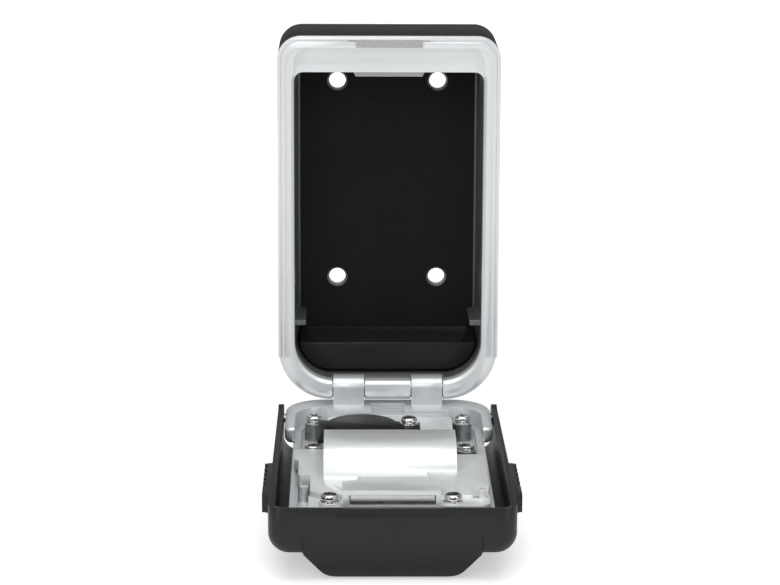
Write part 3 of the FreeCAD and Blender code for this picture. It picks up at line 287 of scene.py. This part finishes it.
FINISHES = {
    "body_casting": CAST, "door_casting": CAST_DOOR, "mechanism_cover": CAST_INNER,
    "body_jacket": JACKET, "weather_cover": COVER, "back_liner": LINER, "key_tray": TRAY,
    "strike_plate": STEEL, "hinge_pin": STEEL, "dial_bezel": BEZEL, "wheel_axle": STEEL,
    "detent_spring": SPRING, "battery_cover": TRAY, "coin_cell": CELL, "battery_clip": SPRING,
    "battery_cover_screw": NICKEL, "post_screws": NICKEL, "front_screws": NICKEL, "light_board": BOARD,
    "light_lens": LENS, "light_button": BUTTON, "cover_pins": STEEL, "latch_bolt": BOLT,
    "release_lever": BEZEL, "reset_lever": BOLT,
}
for wheel in range(1, 5):
    FINISHES["number_wheel_%d" % wheel] = WHEEL
    FINISHES["code_cam_%d" % wheel] = BRASS
for label, material in FINISHES.items():
    NODES[label].data.materials.clear()
    NODES[label].data.materials.append(material)
BODY_OF = {n: body for body, members in frame["record"]["behaviour"]["bodies"].items() for n in members}


# Edges sharper than this many degrees are rounded and stay creased
EDGE_ANGLE = 35.0


def only(piece):
    bpy.ops.object.select_all(action="DESELECT")
    piece.select_set(True)
    bpy.context.view_layer.objects.active = piece


def dress(piece, material):
    """One finish over the whole piece."""
    piece.data.materials.clear()
    piece.data.materials.append(material)


def take_place(piece, *labels):
    """The piece rides where the CAD nodes ride and stands for them."""
    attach(piece, BODY_OF[labels[0]])
    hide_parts(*labels)


def soften(label, width):
    """Copy of a CAD node with small roundings on its sharp edges."""
    mesh = NODES[label].data.copy()
    piece = bpy.data.objects.new(label + "_finished", mesh)
    scene.collection.objects.link(piece)
    only(piece)
    bpy.ops.object.mode_set(mode="EDIT")
    bpy.ops.mesh.select_all(action="SELECT")
    bpy.ops.mesh.remove_doubles(threshold=0.000002)
    bpy.ops.mesh.dissolve_limited(angle_limit=math.radians(0.5))
    bpy.ops.object.mode_set(mode="OBJECT")
    bpy.ops.mesh.customdata_custom_splitnormals_clear()
    bevel = piece.modifiers.new("round_edges", "BEVEL")
    bevel.width = width * MM
    bevel.segments = 2
    bevel.limit_method = "ANGLE"
    bevel.angle_limit = math.radians(EDGE_ANGLE)
    bpy.ops.object.modifier_apply(modifier="round_edges")
    bpy.ops.object.shade_smooth_by_angle(angle=math.radians(32))
    take_place(piece, label)
    return piece


for label, width in (("body_casting", 0.3), ("body_jacket", 0.3), ("door_casting", 0.3),
                     ("mechanism_cover", 0.35), ("weather_cover", 0.3), ("key_tray", 0.3),
                     ("dial_bezel", 0.25), ("release_lever", 0.25), ("latch_bolt", 0.15),
                     ("battery_cover", 0.15), ("reset_lever", 0.2)):
    soften(label, width)

# Number wheels on the open door, in millimetres
WHEEL_V = 72.6
WHEEL_N = -8.5
WHEEL_R = 8.6
WHEEL_WIDE = 5.2
WHEEL_PITCH = 7.6
WHEEL_OFFSET = 0.25
DIGIT_SIZE = 3.6
DIGIT_HIGH = 0.1
DIGIT_SUNK = 0.02


def modifier(piece, kind, **values):
    made = piece.modifiers.new(kind.lower(), kind)
    for name, value in values.items():
        setattr(made, name, value)
    only(piece)
    bpy.ops.object.modifier_apply(modifier=made.name)


def settle():
    """Puts the active piece's place into its mesh."""
    bpy.ops.object.transform_apply(location=True, rotation=True, scale=True)
    return bpy.context.object


def cylinder(place, radius, high, sides=64):
    bpy.ops.mesh.primitive_cylinder_add(vertices=sides, radius=radius * MM, depth=high * MM,
                                        location=place + Vector((0, 0, high * MM / 2)))
    return settle()


def block(place, size, turn=0.0):
    bpy.ops.mesh.primitive_cube_add(size=1.0, location=place, rotation=(0, 0, turn))
    bpy.context.object.scale = Vector(size) * MM
    return settle()


def join(pieces, name):
    bpy.ops.object.select_all(action="DESELECT")
    for piece in pieces:
        piece.select_set(True)
    bpy.context.view_layer.objects.active = pieces[0]
    bpy.ops.object.join()
    pieces[0].name = name
    return pieces[0]


# Screws, in millimetres
WASHER_HIGH = 0.5
WASHER_R = 2.85
HEAD_R = 2.6
SHANK_R = 1.3
SHANK_LONG = 4.9
RECESS_LONG = 3.1
RECESS_WIDE = 0.75


def screw(x, v, seat, high, turn):
    """Washer, domed head and cross recess of one screw."""
    base = door_point(x, v, seat)
    washer = cylinder(base, WASHER_R, WASHER_HIGH)
    modifier(washer, "BEVEL", width=0.12 * MM, segments=2, limit_method="ANGLE")
    head = cylinder(base + Vector((0, 0, WASHER_HIGH)) * MM, HEAD_R, high - WASHER_HIGH)
    modifier(head, "BEVEL", width=0.42 * (high - WASHER_HIGH) * MM, segments=6, limit_method="ANGLE")
    top = base + Vector((0, 0, high)) * MM
    for spin in (0.0, math.pi / 2):
        cutter = block(top, (RECESS_LONG, RECESS_WIDE, 1.8), turn + spin)
        modifier(head, "BOOLEAN", operation="DIFFERENCE", object=cutter, solver="EXACT")
        bpy.data.objects.remove(cutter)
    centre = block(top, (1.3, 1.3, 2.1), turn + math.pi / 4)
    modifier(head, "BOOLEAN", operation="DIFFERENCE", object=centre, solver="EXACT")
    bpy.data.objects.remove(centre)
    shank = cylinder(base - Vector((0, 0, 4.8)) * MM, SHANK_R, SHANK_LONG, 24)
    return [washer, head, shank]


SCREWS = {
    "battery_cover_screw": ((6.5, 26.8, -5.2, 2.4, 0.5),),
    "post_screws": ((23.7, 17.0, -7.4, 2.4, 0.2), (-23.7, 17.0, -7.4, 2.4, 0.9),
                    (23.7, 48.2, -7.4, 1.6, 0.6), (-23.7, 48.2, -7.4, 1.6, 1.2)),
    "front_screws": ((-18.2, 104.7, -6.6, 2.4, 0.35), (17.6, 104.7, -6.6, 2.4, 0.8)),
}
for label, places in SCREWS.items():
    parts = []
    for place in places:
        parts += screw(*place)
    screws = join(parts, label + "_finished")
    only(screws)
    bpy.ops.object.shade_smooth_by_angle(angle=math.radians(EDGE_ANGLE))
    dress(screws, NICKEL)
    take_place(screws, label)

# Steel sleeves on the screw posts
SLEEVE = finish("sleeve_steel", (0.34, 0.35, 0.35), 0.34, metallic=0.85, grain=900, bump=0.012, tone=0.15)
SLEEVE_R = 3.03


def sleeve(x, v):
    wall = cylinder(door_point(x, v, -12.98), SLEEVE_R, 5.5)
    ring = cylinder(door_point(x, v, -10.2), SLEEVE_R + 0.08, 0.3)
    modifier(ring, "BEVEL", width=0.07 * MM, segments=2, limit_method="ANGLE")
    return [wall, ring]


sleeves = []
for x in (23.7, -23.7):
    for v in (17.0, 48.2):
        sleeves += sleeve(x, v)
sleeves = join(sleeves, "post_sleeves")
only(sleeves)
bpy.ops.object.shade_smooth_by_angle(angle=math.radians(EDGE_ANGLE))
dress(sleeves, SLEEVE)
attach(sleeves, "door")

# Digits on the number wheels
DIGIT = finish("digit_white", (0.8, 0.8, 0.78), 0.5, grain=1500, bump=0.004, tone=0.08)


def wheel_digits(index):
    across = WHEEL_PITCH * (index - 3) + WHEEL_OFFSET + WHEEL_WIDE / 2
    axle = door_point(across, WHEEL_V, WHEEL_N)
    marks = []
    for k in range(10):
        angle = math.radians(36 * k)
        outward = Vector((0, math.cos(angle), math.sin(angle)))
        upward = Vector((0, -math.sin(angle), math.cos(angle)))
        bpy.ops.object.text_add()
        mark = bpy.context.object
        mark.data.body = str(k)
        mark.data.size = DIGIT_SIZE * MM
        mark.data.extrude = DIGIT_HIGH * MM
        mark.data.align_x = "CENTER"
        mark.data.align_y = "CENTER"
        axes = Matrix((upward.cross(outward), upward, outward)).transposed().to_4x4()
        mark.matrix_world = Matrix.Translation(axle + outward * (WHEEL_R - DIGIT_SUNK) * MM) @ axes
        only(mark)
        bpy.ops.object.convert(target="MESH")
        marks.append(settle())
    digits = join(marks, "wheel_%d_digits" % index)
    dress(digits, DIGIT)
    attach(digits, BODY_OF["number_wheel_%d" % index])


for index in range(1, 5):
    wheel_digits(index)

# Camera
CAMERA_TURN = -0.01557
CAMERA_RISE = 0.22637
CAMERA_ROLL = 0.00454
CAMERA_AWAY = 0.9
CAMERA_LENS = 128.317
target = HINGE + Vector((0.639, 0.0, 31.484)) * MM


def add_camera():
    back = Vector((math.sin(CAMERA_TURN) * math.cos(CAMERA_RISE),
                   -math.cos(CAMERA_TURN) * math.cos(CAMERA_RISE), math.sin(CAMERA_RISE)))
    right = Vector((0, 0, 1)).cross(back).normalized()
    up = back.cross(right)
    c, s = math.cos(CAMERA_ROLL), math.sin(CAMERA_ROLL)
    turned_right = right * c + up * s
    turned_up = up * c - right * s
    data = bpy.data.cameras.new("camera")
    data.lens = CAMERA_LENS
    data.sensor_width = 36.0
    data.clip_start = 0.01
    camera = bpy.data.objects.new("camera", data)
    scene.collection.objects.link(camera)
    axes = Matrix((turned_right, turned_up, back)).transposed().to_4x4()
    camera.matrix_world = Matrix.Translation(target + back * CAMERA_AWAY) @ axes
    scene.camera = camera


def add_lamp(name, place, aim, wide, tall, power):
    data = bpy.data.lights.new(name, "AREA")
    data.shape = "RECTANGLE"
    data.size = wide
    data.size_y = tall
    data.energy = power
    lamp = bpy.data.objects.new(name, data)
    scene.collection.objects.link(lamp)
    place, aim = Vector(place), Vector(aim)
    turn = (place - aim).to_track_quat("Z", "Y").to_matrix().to_4x4()
    lamp.matrix_world = Matrix.Translation(place) @ turn


def add_floor():
    bpy.ops.mesh.primitive_plane_add(size=12.0, location=(0, 0, FLOOR_Z - 0.0002))
    floor = bpy.context.object
    floor.name = "floor"
    material = bpy.data.materials.new("white_floor")
    material.use_nodes = True
    tree = material.node_tree
    shader = tree.nodes["Principled BSDF"]
    shader.inputs["Base Color"].default_value = (0.9, 0.9, 0.9, 1)
    shader.inputs["Roughness"].default_value = 0.9
    shader.inputs["Specular IOR Level"].default_value = 0.1
    shader.inputs["Emission Color"].default_value = (1, 1, 1, 1)
    path = node(tree, "ShaderNodeLightPath")
    seen = math_node(tree, "MAXIMUM", path.outputs["Is Camera Ray"], path.outputs["Is Transmission Ray"])
    distance = node(tree, "ShaderNodeVectorMath", operation="LENGTH")
    wire(tree, node(tree, "ShaderNodeTexCoord").outputs["Object"], distance.inputs[0])
    glow = band(tree, distance.outputs["Value"], 0.12, 0.45, 0.42, 1.0)
    wire(tree, math_node(tree, "MULTIPLY", seen, glow), shader.inputs["Emission Strength"])
    floor.data.materials.append(material)


def add_world():
    world = bpy.data.worlds.new("studio")
    world.use_nodes = True
    scene.world = world
    tree = world.node_tree
    back = tree.nodes["Background"]
    back.inputs["Color"].default_value = (1, 1, 1, 1)
    path = node(tree, "ShaderNodeLightPath")
    seen = math_node(tree, "MAXIMUM", path.outputs["Is Camera Ray"], path.outputs["Is Transmission Ray"])
    wire(tree, band(tree, seen, 0.0, 1.0, 0.28, 1.0), back.inputs["Strength"])


add_camera()
add_floor()
add_world()
middle = HINGE + Vector((0, 0, 0.03))
add_lamp("top_box", middle + Vector((0.0, -0.25, 0.9)), middle, 0.9, 0.9, 6.4)
add_lamp("front_box", middle + Vector((-0.15, -1.1, 0.6)), middle, 0.6, 0.5, 2.6)
add_lamp("left_strip", middle + Vector((-0.75, -0.75, 0.3)), middle, 0.16, 0.9, 1.9)
add_lamp("right_strip", middle + Vector((0.75, -0.75, 0.3)), middle, 0.16, 0.9, 1.9)

scene.view_settings.view_transform = "Standard"
